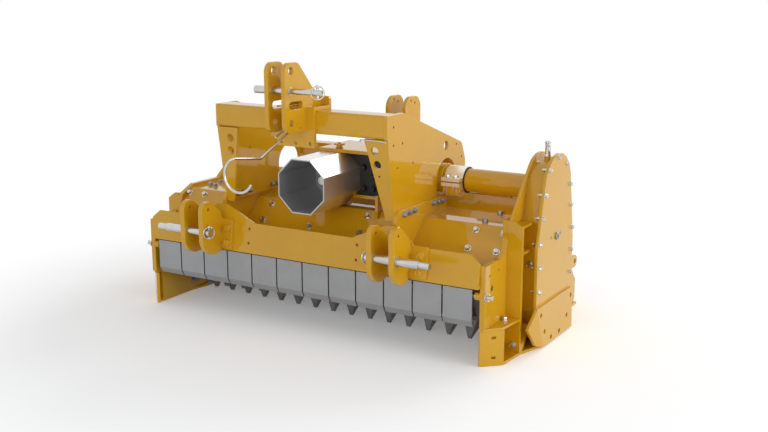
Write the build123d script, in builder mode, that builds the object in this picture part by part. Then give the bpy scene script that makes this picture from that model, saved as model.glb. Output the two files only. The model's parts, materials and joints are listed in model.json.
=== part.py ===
import math
import os

from build123d import *

# Three-point mounted stone crusher, in millimetres.
# Working frame: X to the machine's drive side, Y to the rear, Z up from the floor,
# X = 0 on the hitch centre plane and Y = 0 on the front faces of the flaps.
# Pairs are (Y, Z) unless a comment says otherwise.

# Cut width and flaps
cut_width = 1300.0
flap_count = 12
flap_gap = 5.4
flap_plate = 6.0
flap_top_z = 253.0
flap_bend_z = 149.0
flap_lip = (12.0, 127.0)
flap_rod = (15.0, 231.0)
flap_rod_r = 8.0
flap_rod_end = 22.0
flap_eye_wall = 5.0
flap_eye_length = 28.0
flap_eye_share = 0.31
running_fit = 0.06
seat_fit = 0.25

# Side plates and skids
side_gap = 22.0
side_plate = 18.0
side_front = 5.0
side_step_z = 126.0
side_left_top = ((5.0, 326.0), (150.0, 338.0), (171.0, 394.0), (238.0, 424.0), (395.0, 424.0))
side_right_top = ((5.0, 331.0), (170.0, 333.0))
side_right_round = 60.0
side_tail = ((468.0, 478.0), (514.0, 478.0), (735.0, 250.0), (770.0, 142.0), (811.0, 95.0), (811.0, 22.0))
side_hole = (58.0, 250.0)
side_hole_r = 10.0
side_pinholes = ((39.0, 295.0), (107.0, 299.0))
side_pinhole_r = 4.5
sole_plate = 10.0
sole_inner = 14.0
sole_nose = (201.0, 281.0)
shelf_plate = 8.0
foot_back = 38.0
foot_plate = 12.0
foot_width = 70.0
foot_turn = 43.5
foot_length = 82.0
foot_inset = (2.5, 0.5)
foot_slot = (16.0, 9.0)
foot_slot_at = 47.0
foot_slot_z = (28.0, 95.0)
gusset_plate = 12.0
gusset_y = 168.0
gusset_top = {"left": 396.0, "right": 447.0}
gusset_chamfer = (31.0, 22.0)
gusset_ribs = (346.0, 433.0)
gusset_rib_plate = 8.0
bush_length = 18.0
bush_wall = 5.0
skid_rear = 800.0
ramp_top = 86.0
ramp_plate = 8.0
ramp_gap = 3.0

# Front beam and hood
beam_foot = (-11.0, 259.0)
beam_head = (3.5, 366.0)
beam_plate = 10.0
beam_rise_z = 421.0
beam_rise_in = (143.0, 17.0)
beam_rise_out = (27.0, 91.0)
beam_end_drop = (33.0, 338.0)
beam_holes = (344.0, 294.0)
beam_hole_in = 122.0
beam_hole_r = 5.0
hood_plate = 10.0
hood_bend = 6.0
hood_toe = (54.0, 253.3)
hood_fold = (220.0, 412.0)
hood_back = (395.0, 412.0)
hood_tail = (462.0, 456.0)

# Headstock
beam_half = 333.0
web_plate = 12.0
web_flange = (89.0, 31.0)
web_flange_plate = 10.0
web_flange_holes = ((52.0, 38.0, 14.0), (47.0, 84.0, 14.0), (42.0, 124.0, 4.5))
web_foot = (35.0, 428.0)
web_crest = 93.0
web_tail = ((513.7, 633.3), (526.4, 624.7), (553.7, 564.7), (555.0, 533.0), (545.0, 500.0))
web_hole = (399.4, 632.0)
web_hole_r = 16.5
web_pinholes = ((31.0, 740.0), (30.6, 680.5), (89.0, 681.0), (160.0, 605.4), (58.0, 603.6), (481.0, 627.0), (523.0, 576.0))
web_pinhole_r = 4.5
top_beam_y = -11.0
top_beam_z = 703.7
top_beam_depth = 80.0
top_beam_height = 76.9
top_beam_wall = 8.0
top_beam_round = 10.0
cheek_plate = 12.0
cheek_top = 463.0
cheek_front = 25.0
cheek_round = 34.0

# Top hitch
ear_gap = 52.0
ear_plate = 15.0
ear_front = -135.0
ear_low = 714.5
ear_high = 943.0
ear_crest_y = -62.0
ear_step = (19.0, 856.0)
ear_round = 32.0
ear_slot = (-76.0, 804.0)
ear_slot_size = (75.0, 25.0)
ear_low_hole = (-101.0, 748.0)
ear_low_hole_r = 11.0
top_pin = (-102.6, 852.0)
top_hole = (-102.0, 916.0)
top_hole_r = 13.0
top_pin_r = 12.7
top_pin_tip_r = 9.5
top_pin_left = 99.0
top_pin_right = 159.0
saddle_plate = 12.0
saddle_half = 75.0
saddle_drop = 46.0
saddle_rise = 29.0
saddle_round = 12.0
saddle_hole_r = 6.0
saddle_hole_pitch = 58.0
saddle_hole_drop = 32.0

# Drive-shaft hook
hook_r = 4.0
hook_pivot = (-52.0, 727.0)
hook_arm_x = 14.0
hook_elbow = (-235.0, 650.0)
hook_front = -382.0
hook_tip_z = 670.0
hook_bend = 10.0
hook_lead = 14.0
hook_lead_turn = 38.0
hook_curl_r = 53.0
hook_curl_turn = 205.0
hook_stub = 68.0

# Lower hitch, X counted from the webs' outer faces
clevis_plate = 12.0
clevis_inner = (-13.0, 5.0)
clevis_outer = (69.0, 87.0)
clevis_base = (-55.0, 147.0)
clevis_base_v = (8.0, 112.0)
clevis_lobe = (-56.0, 316.0)
clevis_lobe_r = 65.0
clevis_horn = (-88.0, 412.0)
clevis_horn_r = 33.0
clevis_root = ((-70.0, 262.0), (-10.0, 262.0), (-20.0, 398.0), (-40.0, 410.0))
clevis_hole = (-88.0, 418.0)
clevis_hole_r = 5.5
lower_pin = (-98.0, 338.0)
lower_pin_r = 14.2
lower_pin_tip_r = 11.0
lower_pin_start = -29.0
lower_pin_step = 166.0
lower_pin_end = 204.0
lower_pin_collar = (5.0, 17.5)

# Gearbox, guard and cross shaft
shaft_y = 406.0
shaft_z = 517.0
gearbox_left = -60.0
gearbox_right = 176.0
gearbox_front = 232.0
gearbox_rear = 420.0
gearbox_bottom = 459.0
gearbox_top = 611.0
gearbox_round = 18.0
deck_plate = 12.0
deck_left = -51.0
deck_front = 192.0
deck_rear = 390.0
cradle_plate = 12.0
cradle_front = 195.0
cradle_top = 470.0
guard_front = 2.0
guard_flats = 187.0
guard_wall = 4.0
stub_r = 17.45
stub_length = 105.0
sleeve_r = 52.0
tube_r = 41.0
tube_wall = 6.0
tube_lead = 7.0
collar_wall = 7.0
collar_span = (17.0, 87.0)
collar_lug = (26.0, 30.0)
collar_block = (28.0, 46.0)
collar_split = 4.0
arch_r = 70.0

# Drive housing
housing_depth = 73.0
flange_plate = 10.0
flange_r = 122.0
flange_rear = ((560.0, 330.0), (575.0, 10.0))
cover_r = 117.0
cover_centre = (385.0, 525.0)
cover_front = ((222.0, 345.0), (224.0, 122.0), (270.0, 20.0))
cover_rear = ((543.0, 20.0), (540.0, 330.0))
cover_plate = 10.0
box_inset = 30.0
box_wall = 8.0
box_lug = (640.0, 212.0)
box_lug_r = 22.0
box_lug_hole_r = 9.0
box_lug_plate = 14.0
box_lug_root = (506.0, 530.0, 186.0, 244.0)
wear_plate = 10.0
wear_fold = ((210.0, 150.0), (274.0, 6.0))
wear_fold_turn = 9.0
wear_outline = ((210.0, 150.0), (528.0, 150.0), (536.0, 4.0), (274.0, 4.0), (222.0, 22.0), (163.0, 92.0))
wear_holes = ((245.0, 122.0), (281.0, 57.0), (341.0, 21.0), (416.0, 21.0), (482.0, 59.0), (515.0, 124.0))
wear_hole_r = 8.5
breather_y = 398.0
breather_r = 9.0
breather_boss_r = 11.0
breather_base = 627.0
breather_top = 678.0

# Rotor
rotor_y = 255.0
tip_floor = 4.0
drum_r = 104.0
drum_sides = 20
drum_gap = 32.0
journal_r = 35.0
bearing_r = 68.0
bearing_plate = 26.0
tool_rows = 6
tools_per_row = 15
tool_twist = 24.0
tool_phase = -6.0
tool_base = (64.0, 62.0)
tool_sink = 15.0
tool_height = 84.0
tool_taper = 17.5
tool_lean = 20.0

# Rear hood, tower and cylinder
hinge = (494.0, 452.0)
hinge_rod_r = 10.0
hinge_rod_end = 6.0
knuckle_r = 20.0
knuckle_length = 130.0
knuckle_shares = (-0.75, -0.27, 0.27, 0.75)
rear_plate = 8.0
rear_gap = 8.0
rear_bend = 20.0
rear_path = ((508.0, 460.0), (655.0, 410.0), (755.0, 262.0), (778.0, 62.0))
lug_pin = (707.0, 391.0)
lug_root = ((656.0, 404.0), (716.0, 314.0), (720.0, 317.0), (660.0, 407.0))
lug_plate = 12.0
lug_gap = 34.0
lug_rim = 12.0
lug_slot_r = 16.0
tower_plate = 12.0
tower_gap = 63.0
tower_tube = (486.0, 535.0)
tower_tube_size = 50.0
tower_tube_wall = 6.0
tower_ear = ((643.0, 690.0), (643.0, 760.0), (765.0, 760.0), (765.0, 650.0), (700.0, 588.0), (600.0, 540.0))
tower_round = 46.0
tower_holes = ((688.0, 744.0), (719.0, 734.0))
tower_hole_r = 5.0
tower_pin = (705.0, 650.0)
tower_pin_r = 9.0
tower_pin_end = 5.0
barrel_r = 20.0
barrel_bore = 16.0
barrel_span = (26.0, 142.0)
barrel_head = 10.0
barrel_eye_wall = 11.0
barrel_eye_gap = 6.0
rod_r = 9.5
rod_pin_r = 10.0
rod_eye_wall = 10.0
rod_eye_half = 12.0
rod_pin_end = 4.0
gland_length = 11.0
piston_length = 12.0
piston_gap = 0.4
piston_stop = 2.0

# Worked out from the values above
side_in = cut_width / 2 + side_gap
side_out = side_in + side_plate
flap_pitch = cut_width / flap_count
web_out = beam_half + web_plate
cover_x = side_out + housing_depth
wear_x = cover_x + cover_plate
wear_out = wear_x + wear_plate
skid_reach = side_in + foot_width
side_rear = max(y for y, z in side_tail)
frame_x = (wear_out - skid_reach) / 2
frame_y = (side_rear + hook_front) / 2
sides = (("left", -1), ("right", 1))
pieces = {}

lean = math.radians(tool_lean)
tool_tip_half = tool_base[1] / 2 - tool_height * math.tan(math.radians(tool_taper))
tip_out = drum_r - tool_sink + tool_height * math.cos(lean) + tool_tip_half * math.sin(lean)
tip_r = math.hypot(tip_out, tool_height * math.sin(lean) - tool_tip_half * math.cos(lean))
rotor_z = tip_r + tip_floor

beam_tilt = Vector(0, beam_head[0] - beam_foot[0], beam_head[1] - beam_foot[1])
beam_up = beam_tilt.normalized()
beam_normal = Vector(0, -beam_up.Z, beam_up.Y)
beam_face = Plane(origin=(0, beam_foot[0], beam_foot[1]), x_dir=(1, 0, 0), z_dir=beam_normal)


def beam_v(z):
    return (z - beam_foot[1]) / beam_up.Z


def beam_y(z, lift=0.0):
    face = beam_foot[0] + (z - beam_foot[1]) * beam_up.Y / beam_up.Z
    return face - lift / beam_up.Z


# Flaps: bent plates, each with two eyes on the flap rod
for number in range(flap_count):
    flap_x = -cut_width / 2 + flap_pitch * number + flap_gap / 2
    flap_width = flap_pitch - flap_gap
    with BuildPart() as flap:
        with BuildSketch(Plane.YZ.offset(flap_x)):
            with BuildLine():
                Polyline((0, flap_top_z), (0, flap_bend_z), flap_lip)
                offset(amount=flap_plate, side=Side.LEFT)
            make_face()
        extrude(amount=flap_width)
        for eye in (-1, 1):
            eye_x = flap_x + flap_width * (0.5 + eye * flap_eye_share) - flap_eye_length / 2
            with BuildSketch(Plane.YZ.offset(eye_x)):
                with Locations(flap_rod):
                    RegularPolygon(flap_rod_r + flap_eye_wall, 8, major_radius=False, rotation=22.5)
            extrude(amount=flap_eye_length)
        with BuildSketch(Plane.YZ.offset(flap_x)):
            with Locations(flap_rod):
                Circle(flap_rod_r + running_fit)
        extrude(amount=flap_width, mode=Mode.SUBTRACT)
    pieces[f"flap_{number + 1:02d}"] = flap.part

rod_reach = side_out + flap_rod_end
with BuildPart() as flap_rod_bar:
    with BuildSketch(Plane.YZ.offset(-rod_reach)):
        with Locations(flap_rod):
            Circle(flap_rod_r)
    extrude(amount=2 * rod_reach)
pieces["flap_rod"] = flap_rod_bar.part

# Side plates: front edge, stepped or rounded top, rear sweep and a bush for the flap rod
right_rise = [(side_right_top[1][0], gusset_top["right"]), (hood_back[0], gusset_top["right"])]
side_tops = {"left": list(side_left_top), "right": list(side_right_top) + right_rise}
for side, sign in sides:
    outline = [(foot_back, sole_plate), (foot_back, side_step_z), (side_front, side_step_z)]
    outline += side_tops[side] + list(side_tail) + [(skid_rear, sole_plate)]
    with BuildPart() as plate:
        with BuildSketch(Plane.YZ.offset(sign * side_in)) as outer:
            Polygon(*outline, align=None)
            if side == "right":
                shoulder = Vector(side_right_top[1][0], side_right_top[1][1], 0)
                corner = outer.vertices().sort_by(lambda v: (Vector(v.X, v.Y, 0) - shoulder).length)[0]
                fillet(corner, radius=side_right_round)
            with Locations((rotor_y, rotor_z)):
                Circle(journal_r + running_fit, mode=Mode.SUBTRACT)
            with Locations(hinge):
                Circle(hinge_rod_r + seat_fit, mode=Mode.SUBTRACT)
            with Locations(side_hole):
                Circle(side_hole_r, mode=Mode.SUBTRACT)
            with Locations(*side_pinholes):
                Circle(side_pinhole_r, mode=Mode.SUBTRACT)
        extrude(amount=sign * side_plate)
        with BuildSketch(Plane.YZ.offset(sign * side_in)):
            with Locations(flap_rod):
                Circle(flap_rod_r + bush_wall)
        extrude(amount=-sign * bush_length)
        with BuildSketch(Plane.YZ.offset(sign * (side_in - bush_length))):
            with Locations(flap_rod):
                Circle(flap_rod_r + seat_fit)
        extrude(amount=sign * (bush_length + side_plate), mode=Mode.SUBTRACT)
    pieces[f"side_plate_{side}"] = plate.part

# Skids: angled slotted foot plate, shelf, rear wall and sole on the floor
foot_angle = math.radians(foot_turn)
foot_run = (math.cos(foot_angle), math.sin(foot_angle))
foot_nose = (side_in + foot_inset[0], side_front + foot_inset[1])
foot_end = (foot_nose[0] + foot_length * foot_run[0], foot_nose[1] + foot_length * foot_run[1])
gusset_back = gusset_y + gusset_plate
for side, sign in sides:
    back = (-foot_plate * foot_run[1], foot_plate * foot_run[0])
    foot_plan = [
        foot_nose,
        foot_end,
        (foot_end[0] + back[0], foot_end[1] + back[1]),
        (foot_nose[0] + back[0], foot_nose[1] + back[1]),
    ]
    sole_plan = [(side_in, foot_back), (side_out, foot_back - foot_plate), foot_end, (skid_reach, gusset_back)]
    if side == "right":
        sole_plan += [(wear_x - 1, wear_fold[1][0]), (wear_x - 1, cover_rear[0][0])]
        sole_plan += [(side_out + foot_plate, flange_rear[1][0]), (side_out + foot_plate, skid_rear)]
    else:
        sole_plan += [(skid_reach, cover_rear[0][0]), (side_out + foot_plate, skid_rear)]
    sole_plan += [(side_in - sole_inner, skid_rear), (side_in - sole_inner, sole_nose[1]), (side_in, sole_nose[0])]
    shelf_plan = [
        (side_in, side_front),
        (side_in + foot_plate, side_front + 2),
        (foot_end[0] - 4, foot_end[1] + 2),
        (skid_reach, gusset_back),
        (side_out, gusset_back),
        (side_out, foot_back),
        (side_in, foot_back),
    ]
    with BuildPart() as skid:
        with BuildSketch(Plane.XY):
            Polygon(*[(sign * x, y) for x, y in sole_plan], align=None)
        extrude(amount=sole_plate)
        with BuildSketch(Plane.XY):
            Polygon(*[(sign * x, y) for x, y in foot_plan], align=None)
        extrude(amount=side_step_z - shelf_plate)
        foot_face = Plane(
            origin=(sign * foot_nose[0], foot_nose[1], 0),
            x_dir=(foot_run[0], sign * foot_run[1], 0),
            z_dir=(sign * foot_run[1], -foot_run[0], 0),
        )
        with BuildSketch(foot_face):
            with Locations(*[(sign * foot_slot_at, z) for z in foot_slot_z]):
                SlotOverall(*foot_slot)
        extrude(amount=-foot_plate, mode=Mode.SUBTRACT)
        with BuildSketch(Plane.XY.offset(side_step_z - shelf_plate)):
            Polygon(*[(sign * x, y) for x, y in shelf_plan], align=None)
        extrude(amount=shelf_plate)
        with BuildSketch(Plane.XZ.offset(-gusset_y)):
            with Locations((sign * (side_out + skid_reach) / 2, side_step_z / 2)):
                Rectangle(skid_reach - side_out, side_step_z)
        extrude(amount=-gusset_plate)
        if side == "right":
            ramp_end = cover_front[0][0] + box_inset - ramp_gap
            with BuildSketch(Plane.YZ.offset(side_out + flange_plate + ramp_gap)):
                Polygon(
                    (gusset_y, sole_plate - ramp_plate),
                    (gusset_y, sole_plate + ramp_plate),
                    (ramp_end - ramp_plate, ramp_top),
                    (ramp_end, ramp_top),
                    (ramp_end, ramp_top - ramp_plate),
                    (gusset_back + ramp_plate, sole_plate - ramp_plate),
                    align=None,
                )
            extrude(amount=skid_reach - side_out - flange_plate - ramp_gap)
    pieces[f"skid_{side}"] = skid.part

    top = gusset_top[side]
    gusset_plan = [
        (side_out, side_step_z),
        (skid_reach, side_step_z),
        (skid_reach, top - gusset_chamfer[1]),
        (skid_reach - gusset_chamfer[0], top),
        (side_out, top),
    ]
    with BuildPart() as gusset:
        with BuildSketch(Plane.XZ.offset(-gusset_y)):
            Polygon(*[(sign * x, z) for x, z in gusset_plan], align=None)
        extrude(amount=-gusset_plate)
        if side == "right":
            rib_in = side_out + flange_plate + seat_fit
            rib_end = cover_front[0][0] + box_inset - seat_fit
            for rib_z in gusset_ribs:
                with BuildSketch(Plane.XY.offset(rib_z)):
                    with Locations(((rib_in + skid_reach - gusset_chamfer[0]) / 2, (gusset_y + rib_end) / 2)):
                        Rectangle(skid_reach - gusset_chamfer[0] - rib_in, rib_end - gusset_y)
                    Polygon(
                        (skid_reach - gusset_chamfer[0], gusset_y),
                        (skid_reach, gusset_y),
                        (skid_reach, rib_end - gusset_plate),
                        (skid_reach - gusset_chamfer[0], rib_end),
                        align=None,
                    )
                extrude(amount=-gusset_rib_plate)
    pieces[f"gusset_{side}"] = gusset.part

# Front beam: leaning front plate that rises at the cheeks, with a flange under it
with BuildPart() as front_beam:
    half = [
        (web_out - beam_rise_in[0], beam_head[1]),
        (web_out - beam_rise_in[1], beam_rise_z),
        (web_out + beam_rise_out[0], beam_rise_z),
        (web_out + beam_rise_out[1], beam_head[1]),
        (side_in - beam_end_drop[0], beam_head[1]),
        (side_in, beam_end_drop[1]),
    ]
    upper = [(-x, beam_v(z)) for x, z in reversed(half)] + [(x, beam_v(z)) for x, z in half]
    with BuildSketch(beam_face):
        Polygon(*(upper + [(side_in, 0), (-side_in, 0)]), align=None)
        hole_x = web_out - beam_hole_in
        with Locations(*[(sign * hole_x, beam_v(z)) for z in beam_holes for sign in (-1, 1)]):
            Circle(beam_hole_r, mode=Mode.SUBTRACT)
    extrude(amount=-beam_plate)
    slope = (hood_fold[1] - hood_toe[1]) / (hood_fold[0] - hood_toe[0])
    flange_end = hood_toe[0] + (beam_foot[1] - hood_toe[1]) / slope
    flange_top = beam_foot[1] + shelf_plate
    with BuildSketch(Plane.YZ.offset(-side_in)):
        Polygon(
            (beam_y(beam_foot[1]) + 2, beam_foot[1]),
            (flange_end, beam_foot[1]),
            (flange_end, flange_top),
            (beam_y(flange_top) + 2, flange_top),
            align=None,
        )
    extrude(amount=2 * side_in)
pieces["front_beam"] = front_beam.part

# Hood: one bent plate from toe to tail between the side plates
with BuildPart() as hood:
    with BuildSketch(Plane.YZ.offset(-side_in)):
        with BuildLine():
            FilletPolyline(hood_toe, hood_fold, hood_back, hood_tail, radius=hood_bend)
            offset(amount=hood_plate, side=Side.RIGHT)
        make_face()
    extrude(amount=2 * side_in)
pieces["hood"] = hood.part

# Cheeks stand on the hood outside the webs
cheek_toe_y = hood_toe[0] + (flange_top - hood_toe[1]) / slope
for side, sign in sides:
    with BuildPart() as cheek:
        with BuildSketch(Plane.YZ.offset(sign * web_out)) as face:
            Polygon(
                (cheek_front, flange_top),
                (cheek_toe_y, flange_top),
                hood_fold,
                (hood_back[0] - hood_bend, hood_back[1]),
                (hood_back[0] - hood_bend, cheek_top),
                (cheek_front, cheek_top),
                align=None,
            )
            fillet(face.vertices().group_by(Axis.Y)[-1].sort_by(Axis.X)[0], radius=cheek_round)
        extrude(amount=sign * cheek_plate)
    pieces[f"cheek_{side}"] = cheek.part

# Webs: plates with a shaft arch, holes and a tapering front flange
beam_top = top_beam_z + top_beam_height
web_lean = Vector(0, top_beam_y + 4 - web_foot[0], top_beam_z - web_foot[1])
web_up = web_lean.normalized()
web_front = Plane(origin=(0, web_foot[0], web_foot[1]), x_dir=(1, 0, 0), z_dir=(0, -web_up.Z, web_up.Y))
web_run = web_lean.length - 3
for side, sign in sides:
    with BuildPart() as web:
        with BuildSketch(Plane.YZ.offset(sign * beam_half)):
            Polygon(
                web_foot,
                (top_beam_y + 4, top_beam_z),
                (top_beam_y, top_beam_z),
                (top_beam_y, beam_top),
                (web_crest, beam_top),
                *web_tail,
                (shaft_y, web_tail[-1][1]),
                (shaft_y, web_foot[1]),
                align=None,
            )
            with Locations((shaft_y, shaft_z)):
                Circle(arch_r, mode=Mode.SUBTRACT)
            with Locations((shaft_y, (shaft_z + web_foot[1]) / 2)):
                Rectangle(2 * arch_r, shaft_z - web_foot[1], mode=Mode.SUBTRACT)
            with Locations(web_hole):
                Circle(web_hole_r, mode=Mode.SUBTRACT)
            with Locations(*web_pinholes):
                Circle(web_pinhole_r, mode=Mode.SUBTRACT)
        extrude(amount=sign * web_plate)
        with BuildSketch(web_front):
            Polygon(
                (sign * web_out, 0),
                (sign * web_out, web_run),
                (sign * (web_out - web_flange[0]), web_run),
                (sign * (web_out - web_flange[1]), 0),
                align=None,
            )
            for hole_in, hole_drop, hole_r in web_flange_holes:
                with Locations((sign * (web_out - hole_in), web_run - hole_drop)):
                    Circle(hole_r, mode=Mode.SUBTRACT)
        extrude(amount=-web_flange_plate)
    pieces[f"web_{side}"] = web.part

# Top beam: rounded box tube between the webs
with BuildPart() as top_beam:
    with BuildSketch(Plane.YZ.offset(-beam_half)):
        with Locations((top_beam_y + top_beam_depth / 2, top_beam_z + top_beam_height / 2)):
            RectangleRounded(top_beam_depth, top_beam_height, top_beam_round)
            Rectangle(
                top_beam_depth - 2 * top_beam_wall, top_beam_height - 2 * top_beam_wall, mode=Mode.SUBTRACT
            )
    extrude(amount=2 * beam_half)
pieces["top_beam"] = top_beam.part

# Top hitch bracket: saddle round the beam with two ears
saddle_front = top_beam_y - saddle_plate
saddle_back = top_beam_y + top_beam_depth
saddle_low = top_beam_z - saddle_drop
saddle_high = beam_top + saddle_plate
with BuildPart() as hitch_bracket:
    with BuildSketch(Plane.XZ.offset(-saddle_front)):
        with Locations((0, (saddle_low + saddle_high) / 2)):
            Rectangle(2 * saddle_half, saddle_high - saddle_low)
        with Locations(*[(step * saddle_hole_pitch, top_beam_z - saddle_hole_drop) for step in (-1, 0, 1)]):
            Circle(saddle_hole_r, mode=Mode.SUBTRACT)
    extrude(amount=-saddle_plate)
    with BuildSketch(Plane.XY.offset(beam_top)):
        with Locations((0, (top_beam_y + saddle_back) / 2)):
            Rectangle(2 * saddle_half, saddle_back - top_beam_y)
    extrude(amount=saddle_plate)
    with BuildSketch(Plane.XZ.offset(-saddle_back)) as back_plate:
        with Locations((0, (top_beam_z + saddle_high + saddle_rise) / 2)):
            Rectangle(2 * saddle_half, saddle_high + saddle_rise - top_beam_z)
        fillet(back_plate.vertices().group_by(Axis.Y)[-1], radius=saddle_round)
    extrude(amount=-saddle_plate)
    for sign in (-1, 1):
        with BuildSketch(Plane.YZ.offset(sign * ear_gap / 2)) as ear:
            Polygon(
                (ear_front, ear_low),
                (saddle_front, ear_low),
                (saddle_front, saddle_high),
                (saddle_back, saddle_high),
                (saddle_back, saddle_high + saddle_rise),
                ear_step,
                (ear_crest_y, ear_high),
                (ear_front, ear_high),
                align=None,
            )
            fillet(ear.vertices().group_by(Axis.X)[0], radius=ear_round)
            crest = ear.vertices().group_by(Axis.Y)[-1].sort_by(Axis.X)[-1]
            fillet(crest, radius=ear_round)
            with Locations(top_hole):
                Circle(top_hole_r, mode=Mode.SUBTRACT)
            with Locations(top_pin):
                Circle(top_pin_r + seat_fit, mode=Mode.SUBTRACT)
            with Locations(ear_slot):
                SlotOverall(*ear_slot_size, mode=Mode.SUBTRACT)
            with Locations(ear_low_hole):
                Circle(ear_low_hole_r, mode=Mode.SUBTRACT)
            with Locations(hook_pivot):
                Circle(hook_r + running_fit, mode=Mode.SUBTRACT)
        extrude(amount=sign * ear_plate)
pieces["hitch_bracket"] = hitch_bracket.part

ear_outer = ear_gap / 2 + ear_plate
with BuildPart() as top_link_pin:
    with BuildSketch(Plane.YZ.offset(-top_pin_left)):
        with Locations(top_pin):
            Circle(top_pin_r)
    extrude(amount=top_pin_left + ear_outer)
    with BuildSketch(Plane.YZ.offset(ear_outer)):
        with Locations(top_pin):
            Circle(top_pin_tip_r)
    extrude(amount=top_pin_right - ear_outer)
pieces["top_pin"] = top_link_pin.part

# Drive-shaft hook: bent round bar with a curled end, on a cross bar between the ears
arm_y = hook_front + hook_r
lead_turn = math.radians(hook_lead_turn)
lead_way = (-math.cos(lead_turn), -math.sin(lead_turn))
lead_end = (hook_arm_x + hook_lead * lead_way[0], hook_tip_z + hook_lead * lead_way[1])
curl_centre = (lead_end[0] - hook_curl_r * lead_way[1], lead_end[1] + hook_curl_r * lead_way[0])
curl_start = math.atan2(lead_end[1] - curl_centre[1], lead_end[0] - curl_centre[0])


def curl_point(share):
    angle = curl_start + math.radians(hook_curl_turn) * share
    return (curl_centre[0] + hook_curl_r * math.cos(angle), arm_y, curl_centre[1] + hook_curl_r * math.sin(angle))


with BuildPart() as shaft_hook:
    with BuildLine() as bar:
        FilletPolyline(
            (hook_arm_x, hook_pivot[0], hook_pivot[1]),
            (hook_arm_x, hook_elbow[0], hook_elbow[1]),
            (hook_arm_x, arm_y, hook_tip_z),
            (lead_end[0], arm_y, lead_end[1]),
            radius=hook_bend,
        )
        ThreePointArc(curl_point(0), curl_point(0.5), curl_point(1))
    with BuildSketch(Plane(origin=bar.line @ 0, z_dir=bar.line % 0)):
        Circle(hook_r)
    sweep()
    with BuildSketch(Plane.YZ.offset(-ear_outer)):
        with Locations(hook_pivot):
            Circle(hook_r)
    extrude(amount=2 * ear_outer)
    stub_way = Vector(0, hook_elbow[0] - hook_pivot[0], hook_elbow[1] - hook_pivot[1])
    with BuildSketch(Plane(origin=(-hook_arm_x, hook_pivot[0], hook_pivot[1]), z_dir=stub_way)):
        Circle(hook_r)
    extrude(amount=hook_stub)
pieces["shaft_hook"] = shaft_hook.part

# Lower hitch clevises: leaning base plate with two ears
for side, sign in sides:
    base_in, base_out = web_out + clevis_base[0], web_out + clevis_base[1]
    with BuildPart() as clevis:
        with BuildSketch(beam_face):
            with Locations((sign * (base_in + base_out) / 2, sum(clevis_base_v) / 2)):
                Rectangle(base_out - base_in, clevis_base_v[1] - clevis_base_v[0])
        extrude(amount=clevis_plate)
        for ear_in, ear_out in (clevis_inner, clevis_outer):
            with BuildSketch(Plane.YZ.offset(sign * (web_out + ear_in))):
                with Locations(clevis_lobe):
                    Circle(clevis_lobe_r)
                with Locations(clevis_horn):
                    Circle(clevis_horn_r)
                Polygon(*clevis_root, align=None)
                make_hull()
                low, high = clevis_lobe[1] - 2 * clevis_lobe_r, clevis_horn[1] + 2 * clevis_horn_r
                Polygon(
                    (beam_y(low, clevis_plate), low),
                    (beam_y(high, clevis_plate), high),
                    (clevis_lobe_r, high),
                    (clevis_lobe_r, low),
                    align=None,
                    mode=Mode.SUBTRACT,
                )
                with Locations(lower_pin):
                    Circle(lower_pin_r + seat_fit, mode=Mode.SUBTRACT)
                with Locations(clevis_hole):
                    Circle(clevis_hole_r, mode=Mode.SUBTRACT)
            extrude(amount=sign * (ear_out - ear_in))
    pieces[f"clevis_{side}"] = clevis.part

    with BuildPart() as pin:
        with BuildSketch(Plane.YZ.offset(sign * (web_out + lower_pin_start))):
            with Locations(lower_pin):
                Circle(lower_pin_r)
        extrude(amount=sign * (lower_pin_step - lower_pin_start))
        with BuildSketch(Plane.YZ.offset(sign * (web_out + lower_pin_step))):
            with Locations(lower_pin):
                Circle(lower_pin_tip_r)
        extrude(amount=sign * (lower_pin_end - lower_pin_step))
        with BuildSketch(Plane.YZ.offset(sign * (web_out + clevis_outer[1]))):
            with Locations(lower_pin):
                Circle(lower_pin_collar[1])
        extrude(amount=sign * lower_pin_collar[0])
    pieces[f"lower_pin_{side}"] = pin.part

# Gearbox block on its cradle, deck over it, shaft guard and input stub
with BuildPart() as gearbox:
    with BuildSketch(Plane.XZ.offset(-gearbox_front)):
        with Locations(((gearbox_left + gearbox_right) / 2, (gearbox_bottom + gearbox_top) / 2)):
            RectangleRounded(gearbox_right - gearbox_left, gearbox_top - gearbox_bottom, gearbox_round)
    extrude(amount=gearbox_front - gearbox_rear)
pieces["gearbox"] = gearbox.part

with BuildPart() as gearbox_cradle:
    with BuildSketch(Plane.XY.offset(gearbox_bottom)):
        with Locations(((gearbox_left + gearbox_right) / 2, (gearbox_front + hood_back[0]) / 2)):
            Rectangle(gearbox_right - gearbox_left + cradle_plate, hood_back[0] - gearbox_front)
    extrude(amount=-cradle_plate)
    cradle_foot = hood_toe[1] + (cradle_front - hood_toe[0]) * slope
    left_toe = [(gearbox_front, hood_fold[1])]
    right_toe = [(cradle_front, cradle_foot), hood_fold]
    for cheek_x, toe in ((gearbox_left - cradle_plate, left_toe), (gearbox_right, right_toe)):
        with BuildSketch(Plane.YZ.offset(cheek_x)):
            Polygon(
                *toe,
                (hood_back[0] - hood_bend, hood_back[1]),
                (hood_back[0] - hood_bend, gearbox_bottom),
                (toe[0][0], cradle_top),
                align=None,
            )
        extrude(amount=cradle_plate)
pieces["gearbox_cradle"] = gearbox_cradle.part

with BuildPart() as gearbox_deck:
    with BuildSketch(Plane.XY.offset(gearbox_top)):
        with Locations(((deck_left + beam_half) / 2, (deck_front + deck_rear) / 2)):
            Rectangle(beam_half - deck_left, deck_rear - deck_front)
    extrude(amount=deck_plate)
pieces["gearbox_deck"] = gearbox_deck.part

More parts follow.
